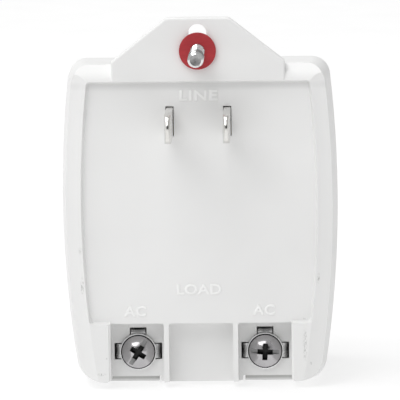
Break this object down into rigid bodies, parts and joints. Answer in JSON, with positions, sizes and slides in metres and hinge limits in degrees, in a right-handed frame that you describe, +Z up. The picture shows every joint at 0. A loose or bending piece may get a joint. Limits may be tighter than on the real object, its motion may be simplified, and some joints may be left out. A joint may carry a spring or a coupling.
{
  "type": "plug-in transformer",
  "caption": "White plug-in transformer: line blades, hanging tab with a captive screw and screw terminals in open bays on the wall side, with core and coils inside a welded shell.",
  "frame": {"origin": "midway between the line blades, on the plug panel", "axes": "+X to the right seen from the wall, +Y from the wall into the room, +Z up"},
  "size_m": [0.061, 0.0697, 0.0821],
  "materials": {
    "housing_white": "fine satin",
    "blade_nickel": "nickel plated",
    "screw_zinc": "zinc plated",
    "fibre_red": "matt fibre",
    "terminal_nickel": "nickel plated",
    "screw_nickel": "nickel plated",
    "core_steel": "blued and varnished",
    "bobbin_nylon": "natural nylon",
    "magnet_wire": "enamelled copper",
    "coil_tape": "polyester film",
    "cutoff_case": "gloss lacquer",
    "lead_black": "satin insulation",
    "lead_red": "satin insulation"
  },
  "bodies": {
    "housing": {"rear_housing": "housing_white", "front_housing": "housing_white", "line_blade_left": "blade_nickel", "line_blade_right": "blade_nickel", "terminal_plate_left": "terminal_nickel", "terminal_plate_right": "terminal_nickel", "core_e_laminations": "core_steel", "core_i_laminations": "core_steel", "bobbin": "bobbin_nylon", "primary_winding": "magnet_wire", "secondary_winding": "magnet_wire", "primary_tape": "coil_tape", "secondary_tape": "coil_tape", "thermal_cutoff": "cutoff_case", "primary_lead_left": "lead_black", "primary_lead_right": "lead_black", "cutoff_lead": "lead_black", "secondary_lead_left": "lead_red", "secondary_lead_right": "lead_red"},
    "retaining_washer": {"screw_retaining_washer": "fibre_red"},
    "mounting_screw": {"mounting_screw": "screw_zinc"},
    "terminal_washer_left": {"terminal_washer_left": "terminal_nickel"},
    "terminal_screw_left": {"terminal_screw_left": "screw_nickel"},
    "terminal_washer_right": {"terminal_washer_right": "terminal_nickel"},
    "terminal_screw_right": {"terminal_screw_right": "screw_nickel"}
  },
  "joints": [
    {"name": "screw_slide", "type": "slide", "parent": "housing", "child": "retaining_washer", "axis": [0, 0, 1], "range_m": [0, 0.0039]},
    {"name": "screw_turn", "type": "hinge", "parent": "retaining_washer", "child": "mounting_screw", "pos_m": [0, 0, 0.0157], "axis": [0, 1, 0], "continuous": true},
    {"name": "terminal_left_rise", "type": "slide", "parent": "housing", "child": "terminal_washer_left", "axis": [0, -1, 0], "range_m": [0, 0.003]},
    {"name": "terminal_left_turn", "type": "hinge", "parent": "terminal_washer_left", "child": "terminal_screw_left", "pos_m": [-0.0141, 0, -0.05205], "axis": [0, -1, 0], "range_deg": [0, 1360.63]},
    {"name": "terminal_right_rise", "type": "slide", "parent": "housing", "child": "terminal_washer_right", "axis": [0, -1, 0], "range_m": [0, 0.003]},
    {"name": "terminal_right_turn", "type": "hinge", "parent": "terminal_washer_right", "child": "terminal_screw_right", "pos_m": [0.0141, 0, -0.05205], "axis": [0, -1, 0], "range_deg": [0, 1360.63]}
  ],
  "couplings": [
    {"joint": "terminal_left_turn", "follows": "terminal_left_rise", "rad_per_m": 7915.8},
    {"joint": "terminal_right_turn", "follows": "terminal_right_rise", "rad_per_m": 7915.8}
  ]
}
